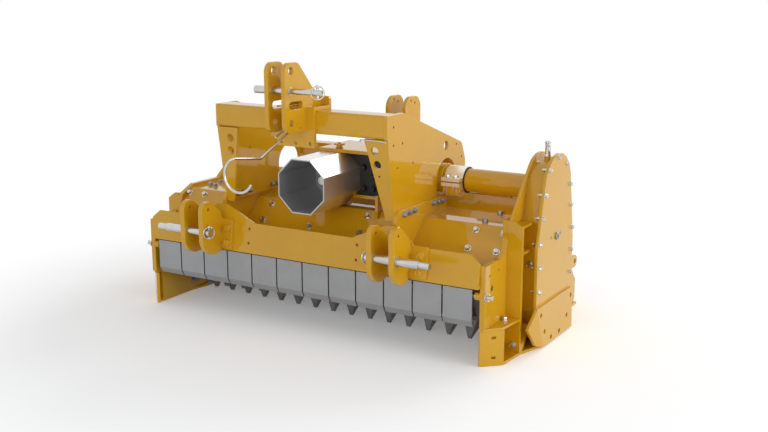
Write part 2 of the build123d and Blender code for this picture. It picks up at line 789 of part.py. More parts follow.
with BuildPart() as shaft_guard:
    with BuildSketch(Plane.XZ.offset(-guard_front)):
        with Locations((0, shaft_z)):
            RegularPolygon(guard_flats / 2, 8, major_radius=False, rotation=22.5)
            RegularPolygon(guard_flats / 2 - guard_wall, 8, major_radius=False, rotation=22.5, mode=Mode.SUBTRACT)
    extrude(amount=guard_front - gearbox_front)
pieces["shaft_guard"] = shaft_guard.part

with BuildPart() as input_stub:
    with BuildSketch(Plane.XZ.offset(-gearbox_front)):
        with Locations((0, shaft_z)):
            Circle(stub_r)
    extrude(amount=stub_length)
pieces["input_stub"] = input_stub.part

# Cross shaft: sleeve through the web's arch, tube to the drive housing and a split clamp collar
tube_start = web_out + tube_lead
with BuildPart() as shaft_sleeve:
    with BuildSketch(Plane.YZ.offset(gearbox_right)):
        with Locations((shaft_y, shaft_z)):
            Circle(sleeve_r)
    extrude(amount=tube_start - gearbox_right)
pieces["shaft_sleeve"] = shaft_sleeve.part

with BuildPart() as shaft_tube:
    with BuildSketch(Plane.YZ.offset(tube_start)):
        with Locations((shaft_y, shaft_z)):
            Circle(tube_r)
            Circle(tube_r - tube_wall, mode=Mode.SUBTRACT)
    extrude(amount=side_out - tube_start)
pieces["shaft_tube"] = shaft_tube.part

collar_face = shaft_y - tube_r - collar_wall
with BuildPart() as clamp_collar:
    with BuildSketch(Plane.YZ.offset(web_out + collar_span[0])):
        with Locations((shaft_y, shaft_z)):
            Circle(tube_r + collar_wall)
        with Locations((collar_face + collar_wall, shaft_z)):
            Rectangle(collar_lug[0] + collar_wall, collar_lug[1], align=(Align.MAX, Align.CENTER))
        with Locations((collar_face + collar_wall, shaft_z)):
            Rectangle(*collar_block, align=(Align.CENTER, Align.MAX))
        with Locations((shaft_y, shaft_z)):
            Circle(tube_r + seat_fit, mode=Mode.SUBTRACT)
        with Locations((shaft_y - tube_r + collar_wall, shaft_z)):
            Rectangle(3 * collar_lug[0], collar_split, align=(Align.MAX, Align.CENTER), mode=Mode.SUBTRACT)
    extrude(amount=collar_span[1] - collar_span[0])
pieces["clamp_collar"] = clamp_collar.part

# Drive housing: flange on the side plate, box wall, bolted cover and folded wear plate
breather_x = (side_out + cover_x) / 2
boss_start = cover_centre[1] + cover_r - box_inset - 0.75 * box_wall
with BuildPart() as drive_housing:
    with BuildSketch(Plane.YZ.offset(side_out)):
        with Locations((shaft_y, shaft_z)):
            Circle(flange_r)
        Polygon((gusset_back, sole_plate), (gusset_back, gusset_top["right"]), *flange_rear, align=None)
        make_hull()
    extrude(amount=flange_plate)
    with BuildSketch(Plane.YZ.offset(side_out + flange_plate)):
        with Locations(cover_centre):
            Circle(cover_r)
        foot = [(y, max(z - box_inset, sole_plate - box_inset)) for y, z in (cover_front[-1], cover_rear[0])]
        Polygon(*cover_front[:-1], *foot, cover_rear[1], align=None)
        make_hull()
        offset(amount=-box_inset, mode=Mode.REPLACE)
        offset(amount=-box_wall, mode=Mode.SUBTRACT)
    extrude(amount=cover_x - side_out - flange_plate)
    with BuildSketch(Plane.XY.offset(boss_start)):
        with Locations((breather_x, breather_y)):
            Circle(breather_boss_r)
    extrude(amount=breather_base - boss_start)
    lug_start = cover_x - box_lug_plate - box_inset / 2
    with BuildSketch(Plane.YZ.offset(lug_start)):
        with Locations(box_lug):
            Circle(box_lug_r)
        root_y, root_end, root_low, root_high = box_lug_root
        Polygon((root_y, root_low), (root_y, root_high), (root_end, root_high), (root_end, root_low), align=None)
        make_hull()
        with Locations(box_lug):
            Circle(box_lug_hole_r, mode=Mode.SUBTRACT)
    extrude(amount=box_lug_plate)
pieces["drive_housing"] = drive_housing.part

with BuildPart() as drive_cover:
    with BuildSketch(Plane.YZ.offset(cover_x)):
        with Locations(cover_centre):
            Circle(cover_r)
        Polygon(*cover_front, *cover_rear, align=None)
        make_hull()
    extrude(amount=cover_plate)
pieces["drive_cover"] = drive_cover.part

fold_run = Vector(0, wear_fold[1][0] - wear_fold[0][0], wear_fold[1][1] - wear_fold[0][1])
fold_way = fold_run.normalized()
fold_start = Vector(wear_x, wear_fold[0][0], wear_fold[0][1]) - fold_run
fold_plane = Plane(origin=fold_start, x_dir=(1, 0, 0), z_dir=fold_way)
nose_turn = math.radians(wear_fold_turn)
nose_length = fold_run.length
wear_length = wear_outline[2][0]
with BuildPart() as wear:
    with BuildSketch(fold_plane):
        with BuildLine():
            Polyline(
                (0, -wear_length),
                (0, 0),
                (-nose_length * math.sin(nose_turn), nose_length * math.cos(nose_turn)),
            )
            offset(amount=wear_plate, side=Side.RIGHT)
        make_face()
    extrude(amount=4 * fold_run.length)
    with BuildSketch(Plane.YZ.offset(side_out)):
        Polygon(*wear_outline, align=None)
        with Locations(*wear_holes):
            Circle(wear_hole_r, mode=Mode.SUBTRACT)
    extrude(amount=2 * housing_depth, mode=Mode.INTERSECT)
pieces["wear_plate"] = wear.part

with BuildPart() as breather:
    with BuildSketch(Plane.XY.offset(breather_base)):
        with Locations((breather_x, breather_y)):
            Circle(breather_r)
    extrude(amount=breather_top - breather_base)
pieces["breather"] = breather.part

# Rotor: drum with journals and rows of leaning pointed tools on a helix
drum_half = side_in - drum_gap
tool_pitch = (2 * drum_half - tool_base[0]) / (tools_per_row - 1 / tool_rows)
with BuildPart() as rotor:
    with BuildSketch(Plane.YZ.offset(-drum_half)):
        with Locations((rotor_y, rotor_z)):
            RegularPolygon(drum_r, drum_sides)
    extrude(amount=2 * drum_half)
    with BuildSketch(Plane.YZ.offset(-side_out - bearing_plate)):
        with Locations((rotor_y, rotor_z)):
            Circle(journal_r)
    extrude(amount=2 * side_out + bearing_plate)
    for row in range(tool_rows):
        for number in range(tools_per_row):
            row_shift = (row - (tool_rows - 1) / 2) / tool_rows
            tool_x = tool_pitch * (number - (tools_per_row - 1) / 2 + row_shift)
            turn = 360 / tool_rows * row + tool_twist * tool_x / (2 * drum_half) + tool_phase
            angle = math.radians(turn)
            way = Vector(0, -math.sin(angle), -math.cos(angle))
            ahead = Vector(0, -math.cos(angle), math.sin(angle))
            seat = Vector(tool_x, rotor_y, rotor_z) + way * (drum_r - tool_sink)
            tool_way = way * math.cos(lean) + ahead * math.sin(lean)
            with BuildSketch(Plane(origin=seat, x_dir=(1, 0, 0), z_dir=tool_way)):
                Rectangle(*tool_base)
            extrude(amount=tool_height, taper=tool_taper)
pieces["rotor"] = rotor.part

with BuildPart() as bearing:
    with BuildSketch(Plane.YZ.offset(-side_out)):
        with Locations((rotor_y, rotor_z)):
            Circle(bearing_r)
            Circle(journal_r + running_fit, mode=Mode.SUBTRACT)
    extrude(amount=-bearing_plate)
pieces["rotor_bearing"] = bearing.part

# Rear hood on its hinge rod, with slotted lugs for the cylinder
rear_half = side_in - rear_gap
with BuildPart() as rear_hood:
    with BuildSketch(Plane.YZ.offset(-rear_half)):
        with BuildLine():
            FilletPolyline(*rear_path, radius=rear_bend)
            offset(amount=rear_plate, side=Side.RIGHT)
        make_face()
    extrude(amount=2 * rear_half)
    for share in knuckle_shares:
        with BuildSketch(Plane.YZ.offset(share * rear_half - knuckle_length / 2)):
            with Locations(hinge):
                Circle(knuckle_r)
        extrude(amount=knuckle_length)
    with BuildSketch(Plane.YZ.offset(-rear_half)):
        with Locations(hinge):
            Circle(hinge_rod_r + running_fit)
    extrude(amount=2 * rear_half, mode=Mode.SUBTRACT)
    for sign in (-1, 1):
        with BuildSketch(Plane.YZ.offset(sign * lug_gap / 2)):
            with Locations(lug_pin):
                Circle(lug_slot_r + lug_rim)
            Polygon(*lug_root, align=None)
            make_hull()
            with Locations(lug_pin):
                Circle(lug_slot_r, mode=Mode.SUBTRACT)
        extrude(amount=sign * lug_plate)
pieces["rear_hood"] = rear_hood.part

with BuildPart() as hinge_rod:
    with BuildSketch(Plane.YZ.offset(-side_out - hinge_rod_end)):
        with Locations(hinge):
            Circle(hinge_rod_r)
    extrude(amount=2 * side_out + hinge_rod_end)
pieces["hinge_rod"] = hinge_rod.part

# Rear tower: cross tube between the webs with two round-topped ears
tube_y, tube_z = tower_tube
tube_rear = tube_y + tower_tube_size
with BuildPart() as rear_tower:
    with BuildSketch(Plane.YZ.offset(-beam_half)):
        with Locations((tube_y + tower_tube_size / 2, tube_z + tower_tube_size / 2)):
            Rectangle(tower_tube_size, tower_tube_size)
            bore = tower_tube_size - 2 * tower_tube_wall
            Rectangle(bore, bore, mode=Mode.SUBTRACT)
    extrude(amount=2 * beam_half)
    for sign in (-1, 1):
        with BuildSketch(Plane.YZ.offset(sign * tower_gap / 2)) as ear:
            Polygon(
                (tube_rear, tube_z + tower_tube_wall),
                (tube_rear, tube_z + tower_tube_size),
                *tower_ear,
                align=None,
            )
            fillet(ear.vertices().group_by(Axis.Y)[-1], radius=tower_round)
            with Locations(tower_pin):
                Circle(tower_pin_r + seat_fit, mode=Mode.SUBTRACT)
            with Locations(*tower_holes):
                Circle(tower_hole_r, mode=Mode.SUBTRACT)
        extrude(amount=sign * tower_plate)
pieces["rear_tower"] = rear_tower.part

pin_half = tower_gap / 2 + tower_plate + tower_pin_end
with BuildPart() as cylinder_pin:
    with BuildSketch(Plane.YZ.offset(-pin_half)):
        with Locations(tower_pin):
            Circle(tower_pin_r)
    extrude(amount=2 * pin_half)
pieces["tower_pin"] = cylinder_pin.part

# Cylinder: barrel hung on the tower pin, rod with its eye in the hood's lugs
reach = Vector(0, lug_pin[0] - tower_pin[0], lug_pin[1] - tower_pin[1])
stroke_way = reach.normalized()
tower_point = Vector(0, tower_pin[0], tower_pin[1])
eye_half = tower_gap / 2 - barrel_eye_gap
gland_start = barrel_span[1] - gland_length
piston_start = gland_start - piston_stop - piston_length


def along(distance):
    return Plane(origin=tower_point + stroke_way * distance, x_dir=(1, 0, 0), z_dir=stroke_way)


with BuildPart() as cylinder_barrel:
    with BuildSketch(along(barrel_span[0])):
        Circle(barrel_r)
    extrude(amount=barrel_span[1] - barrel_span[0])
    with BuildSketch(along(barrel_span[0] + barrel_head)):
        Circle(barrel_bore)
    extrude(amount=gland_start - barrel_span[0] - barrel_head, mode=Mode.SUBTRACT)
    with BuildSketch(along(gland_start)):
        Circle(rod_r + running_fit)
    extrude(amount=gland_length, mode=Mode.SUBTRACT)
    with BuildSketch(Plane.YZ.offset(-eye_half)):
        with Locations(tower_pin):
            Circle(tower_pin_r + barrel_eye_wall)
    extrude(amount=2 * eye_half)
    with BuildSketch(along(0)):
        Rectangle(2 * barrel_r, 1.5 * barrel_r)
    extrude(amount=barrel_span[0] + barrel_head / 4)
    with BuildSketch(Plane.YZ.offset(-eye_half)):
        with Locations(tower_pin):
            Circle(tower_pin_r + running_fit)
    extrude(amount=2 * eye_half, mode=Mode.SUBTRACT)
pieces["cylinder_barrel"] = cylinder_barrel.part

with BuildPart() as cylinder_rod:
    with BuildSketch(along(piston_start)):
        Circle(barrel_bore - piston_gap)
    extrude(amount=piston_length)
    with BuildSketch(along(piston_start + piston_length)):
        Circle(rod_r)
    extrude(amount=reach.length - piston_start - piston_length - rod_pin_r - rod_eye_wall / 2)
    with BuildSketch(Plane.YZ.offset(-rod_eye_half)):
        with Locations(lug_pin):
            Circle(rod_pin_r + rod_eye_wall)
    extrude(amount=2 * rod_eye_half)
    with BuildSketch(Plane.YZ.offset(-lug_gap / 2 - lug_plate - rod_pin_end)):
        with Locations(lug_pin):
            Circle(rod_pin_r)
    extrude(amount=lug_gap + 2 * lug_plate + 2 * rod_pin_end)
pieces["cylinder_rod"] = cylinder_rod.part

# Every piece goes to the part's own frame: origin on the floor at the middle of the whole
os.makedirs("parts", exist_ok=True)
to_frame = Location((-frame_x, -frame_y, 0))
for label, piece in pieces.items():
    placed = piece.moved(to_frame)
    placed.label = label
    export_step(placed, f"parts/{label}.step")
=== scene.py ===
import json
import math

import bmesh
import bpy
from mathutils import Matrix, Vector


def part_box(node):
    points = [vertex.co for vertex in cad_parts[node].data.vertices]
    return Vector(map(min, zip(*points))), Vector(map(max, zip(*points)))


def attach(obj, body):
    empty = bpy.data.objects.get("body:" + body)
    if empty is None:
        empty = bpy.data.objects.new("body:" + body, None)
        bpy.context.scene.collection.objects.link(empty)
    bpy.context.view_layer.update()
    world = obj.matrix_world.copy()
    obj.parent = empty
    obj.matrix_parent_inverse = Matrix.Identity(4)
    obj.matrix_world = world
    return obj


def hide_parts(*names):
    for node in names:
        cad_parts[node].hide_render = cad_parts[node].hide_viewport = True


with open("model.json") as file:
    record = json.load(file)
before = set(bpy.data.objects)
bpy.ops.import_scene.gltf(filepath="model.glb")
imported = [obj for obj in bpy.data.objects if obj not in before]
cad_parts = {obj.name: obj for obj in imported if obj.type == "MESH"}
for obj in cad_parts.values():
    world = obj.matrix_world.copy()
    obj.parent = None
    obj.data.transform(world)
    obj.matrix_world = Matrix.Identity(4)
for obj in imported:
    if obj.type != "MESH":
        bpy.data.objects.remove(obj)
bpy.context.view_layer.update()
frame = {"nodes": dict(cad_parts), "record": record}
print("frame loaded:", len(frame["nodes"]), "nodes")

hitchShift = Vector((0.0205, 0.2145, 0.0))  # from the hitch point, where sizes are read, to the part's origin


def place(x, y, z):  # hitch millimetres to part metres
    return Vector((x, y, z)) / 1000 - hitchShift


# camera at the photo's view
cameraSetup = {
    "lens": 49.81,
    "place": (2029.4, -2895.3, 1211.8),
    "azimuth": 30.45,
    "elevation": 12.71,
    "reach": 60,
}
turn, rise = math.radians(cameraSetup["azimuth"]), math.radians(cameraSetup["elevation"])
lookBack = Vector((math.sin(turn) * math.cos(rise), -math.cos(turn) * math.cos(rise), math.sin(rise)))
cameraData = bpy.data.cameras.new("photoCamera")
cameraData.lens = cameraSetup["lens"]
cameraData.clip_end = cameraSetup["reach"]
camera = bpy.data.objects.new("photoCamera", cameraData)
bpy.context.scene.collection.objects.link(camera)
camera.location = place(*cameraSetup["place"])
camera.rotation_mode = "QUATERNION"
camera.rotation_quaternion = (-lookBack).to_track_quat("-Z", "Y")
bpy.context.scene.camera = camera
bpy.context.scene.view_settings.view_transform = "Standard"
print("camera set")


def linear(hexColour):  # sRGB hex to linear, opaque
    channels = [int(hexColour[i : i + 2], 16) / 255 for i in (1, 3, 5)]
    return tuple(c / 12.92 if c <= 0.04045 else ((c + 0.055) / 1.055) ** 2.4 for c in channels) + (1.0,)


def addNode(tree, kind, settings=None, links=None):  # one node, its settings and what feeds it
    node = tree.nodes.new(kind)
    for name, value in (settings or {}).items():
        if isinstance(name, str) and hasattr(node, name):
            setattr(node, name, value)
        else:
            node.inputs[name].default_value = value
    for name, source in (links or {}).items():
        tree.links.new(source, node.inputs[name])
    return node


def newMaterial(name):  # an empty material, its tree and the object's own coordinates
    material = bpy.data.materials.new(name)
    material.use_nodes = True
    tree = material.node_tree
    tree.nodes.clear()
    return material, tree, addNode(tree, "ShaderNodeTexCoord").outputs["Object"]


def noise(tree, coords, sizeMm, detail, roughness=0.5):
    settings = {"Scale": 1000 / sizeMm, "Detail": detail, "Roughness": roughness}
    return addNode(tree, "ShaderNodeTexNoise", settings, {"Vector": coords}).outputs["Fac"]


def spread(tree, value, ends):  # 0 to 1 laid over another range
    settings = {"To Min": ends[0], "To Max": ends[1]}
    return addNode(tree, "ShaderNodeMapRange", settings, {"Value": value}).outputs["Result"]


def ramp(tree, value, tones):
    node = addNode(tree, "ShaderNodeValToRGB", None, {"Fac": value})
    elements = node.color_ramp.elements
    while len(elements) < len(tones):
        elements.new(0.5)
    for element, (position, hexColour) in zip(elements, tones):
        element.position = position
        element.color = linear(hexColour)
    return node.outputs["Color"]


def roundEdge(tree, sizeMm, samples):  # normal that shades the edges as rounded
    settings = {"samples": samples, "Radius": sizeMm / 1000}
    return addNode(tree, "ShaderNodeBevel", settings).outputs["Normal"]


def bumpOn(tree, height, normal, strength, depthMm):
    settings = {"Strength": strength, "Distance": depthMm / 1000}
    return addNode(tree, "ShaderNodeBump", settings, {"Height": height, "Normal": normal}).outputs["Normal"]


def mixColour(tree, share, colour, hexColour):  # towards a second colour
    settings = {"data_type": "RGBA", 7: linear(hexColour)}
    return addNode(tree, "ShaderNodeMix", settings, {0: share, 6: colour}).outputs[2]


def mixShader(tree, share, first, second):
    return addNode(tree, "ShaderNodeMixShader", None, {0: share, 1: first, 2: second}).outputs["Shader"]


def larger(tree, first, second):
    return addNode(tree, "ShaderNodeMath", {"operation": "MAXIMUM"}, {0: first, 1: second}).outputs[0]


def addSurface(tree, settings, links):
    shader = addNode(tree, "ShaderNodeBsdfPrincipled", settings, links)
    addNode(tree, "ShaderNodeOutputMaterial", None, {"Surface": shader.outputs["BSDF"]})


# Polyester powder coat on cut and bent steel plate: sprayed and baked, so it has a deep even yellow
# under a clear gloss, a faint orange peel, and paler edges: partly the coat drawn back thin, partly a painted
# highlight.
coatSetup = {
    "tones": ((0.3, "#D6A010"), (0.5, "#DBA615"), (0.72, "#DEAA1C")),
    "thin": "#E4B63C",
    "thinAndHighlightFrom": (0.985, 0.85),  # how far the rounded normal has left the flat one
    "thinAndHighlightShare": 0.45,
    "patchMm": 300.0,
    "rough": (0.42, 0.52),
    "peelMm": 7.0,  # real orange peel is 2 to 3 mm, drawn coarser so that it shows
    "peelStrength": 0.02,
    "peelDepthMm": 0.3,
    "edgeMm": 2.8,
    "gloss": {"IOR": 1.12, "Coat Weight": 1.0, "Coat Roughness": 0.04, "Coat IOR": 1.5},
}


def powderCoat():
    material, tree, coords = newMaterial("powderCoatYellow")
    patch = noise(tree, coords, coatSetup["patchMm"], 4.0, 0.6)
    peel = noise(tree, coords, coatSetup["peelMm"], 2.0)
    edge = roundEdge(tree, coatSetup["edgeMm"], 6)
    flat = addNode(tree, "ShaderNodeNewGeometry").outputs["Normal"]
    along = addNode(tree, "ShaderNodeVectorMath", {"operation": "DOT_PRODUCT"}, {0: edge, 1: flat})
    thinStart, thinEnd = coatSetup["thinAndHighlightFrom"]
    # paler edges: partly the coat drawn back thin there, partly a painted highlight along the edges
    thin = addNode(
        tree,
        "ShaderNodeMapRange",
        {"From Min": thinStart, "From Max": thinEnd, "To Min": 0.0, "To Max": coatSetup["thinAndHighlightShare"]},
        {"Value": along.outputs["Value"]},
    )
    tone = ramp(tree, patch, coatSetup["tones"])
    bump = bumpOn(tree, peel, edge, coatSetup["peelStrength"], coatSetup["peelDepthMm"])
    addSurface(
        tree,
        coatSetup["gloss"],
        {
            "Base Color": mixColour(tree, thin.outputs["Result"], tone, coatSetup["thin"]),
            "Roughness": spread(tree, patch, coatSetup["rough"]),
            "Normal": bump,
            "Coat Normal": bump,
        },
    )
    return material


# Hot-rolled steel plate, pickled and bead-blasted: an even mid grey with a dull silk sheen.
plateSetup = {
    "tones": ((0.3, "#999A9C"), (0.7, "#A0A1A2")),
    "cloudMm": 60.0,
    "rough": (0.4, 0.5),
    "grainMm": 3.0,
    "grainStrength": 0.06,
    "grainDepthMm": 0.2,
    "edgeMm": 1.8,
    "metal": 0.8,
}


def hotRolledPlate():
    material, tree, coords = newMaterial("hotRolledPlate")
    cloud = noise(tree, coords, plateSetup["cloudMm"], 5.0, 0.55)
    grain = noise(tree, coords, plateSetup["grainMm"], 2.0)
    edge = roundEdge(tree, plateSetup["edgeMm"], 6)
    addSurface(
        tree,
        {"Metallic": plateSetup["metal"]},
        {
            "Base Color": ramp(tree, cloud, plateSetup["tones"]),
            "Roughness": spread(tree, cloud, plateSetup["rough"]),
            "Normal": bumpOn(tree, grain, edge, plateSetup["grainStrength"], plateSetup["grainDepthMm"]),
        },
    )
    return material


# Bright zinc-plated steel: turned, then plated, so it is pale, smooth and mirrors the room softly.
zincSetup = {
    "tones": ((0.35, "#C4C1B9"), (0.65, "#CDCECE")),
    "cloudMm": 30.0,
    "rough": (0.16, 0.26),
    "edgeMm": 0.8,
}


def zincPlate():
    material, tree, coords = newMaterial("zincPlatedSteel")
    cloud = noise(tree, coords, zincSetup["cloudMm"], 3.0)
    addSurface(
        tree,
        {"Metallic": 1.0},
        {
            "Base Color": ramp(tree, cloud, zincSetup["tones"]),
            "Roughness": spread(tree, cloud, zincSetup["rough"]),
            "Normal": roundEdge(tree, zincSetup["edgeMm"], 4),
        },
    )
    return material


# Galvanised sheet steel, skin-passed: folded flat panels with a tight, pale, softly mirroring skin
# and only a ghost of spangle. The inside of the guard's eight-sided tube is painted a darker, duller grey:
# painted shade inside the tube.
sheetSetup = {
    "tones": ((0.2, "#F0F0EF"), (0.8, "#F6F6F4")),
    "insideShade": "#B4B3B4",
    "spangleMm": 16.0,
    "rough": (0.3, 0.55),  # bare skin, inside with painted shade
    "metal": 0.85,
    "tube": (0.0, 517.0),
    "insideMm": 93.1,
}


def galvanisedSheet():
    material, tree, coords = newMaterial("galvanisedSheet")
    spangle = addNode(
        tree,
        "ShaderNodeTexVoronoi",
        {"Scale": 1000 / sheetSetup["spangleMm"]},
        {"Vector": coords},
    )
    tone = ramp(tree, spangle.outputs["Color"], sheetSetup["tones"])
    # the painted shade lies inside the tube, where the distance to the tube's eight flats is less than the
    # wall's
    middle = place(sheetSetup["tube"][0], 0, sheetSetup["tube"][1])
    offset = addNode(tree, "ShaderNodeVectorMath", {"operation": "SUBTRACT", 1: middle}, {0: coords})
    size = addNode(tree, "ShaderNodeVectorMath", {"operation": "ABSOLUTE"}, {0: offset.outputs["Vector"]})
    parts = addNode(tree, "ShaderNodeSeparateXYZ", None, {0: size.outputs["Vector"]})
    slant = addNode(
        tree,
        "ShaderNodeVectorMath",
        {"operation": "DOT_PRODUCT", 1: (0.70711, 0, 0.70711)},
        {0: size.outputs["Vector"]},
    )
    square = larger(tree, parts.outputs["X"], parts.outputs["Z"])
    inner = addNode(
        tree,
        "ShaderNodeMath",
        {"operation": "LESS_THAN", 1: sheetSetup["insideMm"] / 1000},
        {0: larger(tree, square, slant.outputs["Value"])},
    ).outputs[0]
    addSurface(
        tree,
        {"Metallic": sheetSetup["metal"]},
        {
            "Base Color": mixColour(tree, inner, tone, sheetSetup["insideShade"]),
            "Roughness": spread(tree, inner, sheetSetup["rough"]),
        },
    )
    return material


# Sand-cast iron under black paint: a grainy skin that the paint only half levels.
castSetup = {
    "colour": "#111112",
    "grainMm": 7.0,
    "grainStrength": 0.2,
    "grainDepthMm": 0.5,
    "rough": (0.42, 0.58),
    "edgeMm": 3.0,
}


def blackCastIron():
    material, tree, coords = newMaterial("blackCastIron")
    grain = noise(tree, coords, castSetup["grainMm"], 4.0)
    edge = roundEdge(tree, castSetup["edgeMm"], 4)
    addSurface(
        tree,
        {"Base Color": linear(castSetup["colour"])},
        {
            "Roughness": spread(tree, grain, castSetup["rough"]),
            "Normal": bumpOn(tree, grain, edge, castSetup["grainStrength"], castSetup["grainDepthMm"]),
        },
    )
    return material


# Drop-forged tool steel: dark oxide scale with paler rubbed patches.
forgedSetup = {
    "tones": ((0.4, "#6C6D6F"), (0.7, "#87888A")),
    "scaleMm": 18.0,
    "scaleStrength": 0.35,
    "scaleDepthMm": 1.2,
    "rough": (0.4, 0.62),
    "edgeMm": 4.0,
    "metal": 0.5,
}


def forgedSteel():
    material, tree, coords = newMaterial("forgedToolSteel")
    flake = noise(tree, coords, forgedSetup["scaleMm"], 6.0, 0.7)
    edge = roundEdge(tree, forgedSetup["edgeMm"], 6)
    addSurface(
        tree,
        {"Metallic": forgedSetup["metal"]},
        {
            "Base Color": ramp(tree, flake, forgedSetup["tones"]),
            "Roughness": spread(tree, flake, forgedSetup["rough"]),
            "Normal": bumpOn(tree, flake, edge, forgedSetup["scaleStrength"], forgedSetup["scaleDepthMm"]),
        },
    )
    return material


# Hard chrome on a ground rod: a clear, nearly mirror surface with a fine grinding haze.
chromeSetup = {"colour": "#D8DADC", "hazeMm": 11.0, "rough": (0.06, 0.16)}


def hardChrome():
    material, tree, coords = newMaterial("hardChrome")
    haze = noise(tree, coords, chromeSetup["hazeMm"], 3.0)
    addSurface(
        tree,
        {"Metallic": 1.0, "Base Color": linear(chromeSetup["colour"])},
        {"Roughness": spread(tree, haze, chromeSetup["rough"])},
    )
    return material


finishes = {
    "yellow_paint": powderCoat(),
    "worn_steel": hotRolledPlate(),
    "bright_steel": zincPlate(),
    "galvanised_steel": galvanisedSheet(),
    "black_cast_iron": blackCastIron(),
    "dark_steel": forgedSteel(),
    "chrome_rod": hardChrome(),
}
finishes["black_paint"] = finishes["black_cast_iron"]

for entry in frame["record"]["subparts"]:
    node = frame["nodes"][entry["node"]]
    node.data.materials.clear()
    node.data.materials.append(finishes[entry["material_slot"]])
print("materials on", len(frame["nodes"]), "nodes")


# small parts are lathed: a profile of (radius, height) turned about a local Z
def axisAt(point, way):
    return Matrix.Translation(point) @ Vector(way).normalized().to_track_quat("Z", "Y").to_matrix().to_4x4()


def profileOf(shares, radius, height, start=0.0):  # shares of a radius and a height
    return [(radius * across, start + height * up) for across, up in shares]


def ringOf(inner, outer, thick, chamfer, shoulder=0.8):
    return [
        (inner, 0),
        (outer, 0),
        (outer, thick * shoulder),
        (outer - chamfer, thick),
        (inner + chamfer, thick),
        (inner, thick * 0.8),
        (inner, 0),
    ]


def lathe(mesh, matrix, profile, sides, start=0.0):
    rings = []
    for radius, height in profile:
        if radius < 1e-7:  # on the axis
            rings.append([mesh.verts.new(matrix @ Vector((0, 0, height)))])
            continue
        ring = []
        for side in range(sides):
            angle = start + 2 * math.pi * side / sides
            spot = Vector((radius * math.cos(angle), radius * math.sin(angle), height))
            ring.append(mesh.verts.new(matrix @ spot))
        rings.append(ring)
    for low, high in zip(rings, rings[1:]):
        for side in range(sides):
            ahead = (side + 1) % sides
            if len(low) == 1:
                mesh.faces.new((low[0], high[side], high[ahead]))
            elif len(high) == 1:
                mesh.faces.new((low[side], low[ahead], high[0]))
            else:
                mesh.faces.new((low[side], low[ahead], high[ahead], high[side]))


boltShape = {
    "washerTall": 0.12,  # shares of the size across flats
    "washer": ((0, 0), (1, 0), (1, 0.7), (0.96, 1), (0, 1)),
    "headTall": 0.62,
    "head": ((0, 0), (1, 0), (1, 0.82), (0.88, 1), (0.6, 1), (0.52, 0.93), (0, 0.93)),
}


def addBolt(mesh, point, way, flats, washer=0.74):  # hex head with chamfered crown on a plain washer
    seat = axisAt(point, way)
    base = flats * boltShape["washerTall"]
    lathe(mesh, seat, profileOf(boltShape["washer"], flats * washer, base), 24)
    spin = (point.x + point.y * 1.7 + point.z * 2.3) * 40  # each head ends at its own angle
    head = profileOf(boltShape["head"], flats / math.sqrt(3), flats * boltShape["headTall"], base)
    lathe(mesh, seat, head, 6, spin)


nutShape = {
    "tall": 0.75,
    "body": ((0, 0), (0.9, 0), (1, 0.12), (1, 0.88), (0.88, 1), (0, 1)),
    "stub": 0.3,
    "root": 0.88,
    "turns": 4,
}


def addNut(mesh, point, way, flats, tail=0.35):  # nut with a stub of thread
    seat = axisAt(point, way)
    tall = flats * nutShape["tall"]
    lathe(mesh, seat, profileOf(nutShape["body"], flats / math.sqrt(3), tall), 6)
    stub = flats * nutShape["stub"]
    pitch = flats * tail / nutShape["turns"]
    thread = [(0, tall * 0.9)]
    for step in range(nutShape["turns"] + 1):  # ridges of the thread
        crest = tall + pitch * step
        thread += [(stub * nutShape["root"], crest - pitch / 2), (stub, crest)]
    thread.append((0, tall + flats * tail))
    lathe(mesh, seat, thread, 14)


def addTube(mesh, points, radius, sides, closed=False):  # round bar along a row of points
    count = len(points)
    rings = []
    side = None
    for index, point in enumerate(points):
        before = points[index - 1] if closed or index else point
        after = points[(index + 1) % count] if closed or index < count - 1 else point
        way = (after - before).normalized()
        side = way.orthogonal().normalized() if side is None else (side - way * side.dot(way)).normalized()
        up = way.cross(side)
        ring = []
        for step in range(sides):
            angle = 2 * math.pi * step / sides
            ring.append(mesh.verts.new(point + (side * math.cos(angle) + up * math.sin(angle)) * radius))
        rings.append(ring)
    pairs = list(zip(rings, rings[1:])) + ([(rings[-1], rings[0])] if closed else [])
    for low, high in pairs:
        for step in range(sides):
            ahead = (step + 1) % sides
            mesh.faces.new((low[step], low[ahead], high[ahead], high[step]))
    if not closed:
        mesh.faces.new(rings[0])
        mesh.faces.new(rings[-1])


def addPlate(mesh, low, high, rounding):  # plate with rounded edges between two corners
    made = bmesh.ops.create_cube(mesh, size=1.0)
    middle, size = (low + high) / 2, high - low
    for vert in made["verts"]:
        vert.co = middle + Vector((vert.co.x * size.x, vert.co.y * size.y, vert.co.z * size.z))
    edges = list({edge for vert in made["verts"] for edge in vert.link_edges})
    bmesh.ops.bevel(mesh, geom=edges, offset=rounding, segments=2, affect="EDGES", profile=0.5)


sharpAngle = math.radians(35)


def makePiece(name, mesh, finish, body):
    data = bpy.data.meshes.new(name)
    bmesh.ops.recalc_face_normals(mesh, faces=mesh.faces)
    mesh.to_mesh(data)
    mesh.free()
    data.shade_smooth()
    data.set_sharp_from_angle(angle=sharpAngle)
    piece = bpy.data.objects.new(name, data)
    bpy.context.scene.collection.objects.link(piece)
    data.materials.append(finishes[finish])
    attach(piece, body)
    return piece


# bolts round the drive cover, with nuts behind its rim
coverBolts = {
    "face": 773.0,
    "behind": 763.0,
    "flats": 0.012,
    "tail": 0.6,
    "spots": (
        (303, 597), (272, 519), (256, 445), (241, 363), (241, 283), (241, 202), (380, 628),
        (459, 597), (491, 522), (505, 448), (521, 365), (522, 286), (522, 205),
    ),
}
mesh = bmesh.new()
for y, z in coverBolts["spots"]:
    addBolt(mesh, place(coverBolts["face"], y, z), (1, 0, 0), coverBolts["flats"])
    addNut(mesh, place(coverBolts["behind"], y, z), (-1, 0, 0), coverBolts["flats"], coverBolts["tail"])
makePiece("coverBolts", mesh, "bright_steel", "frame")

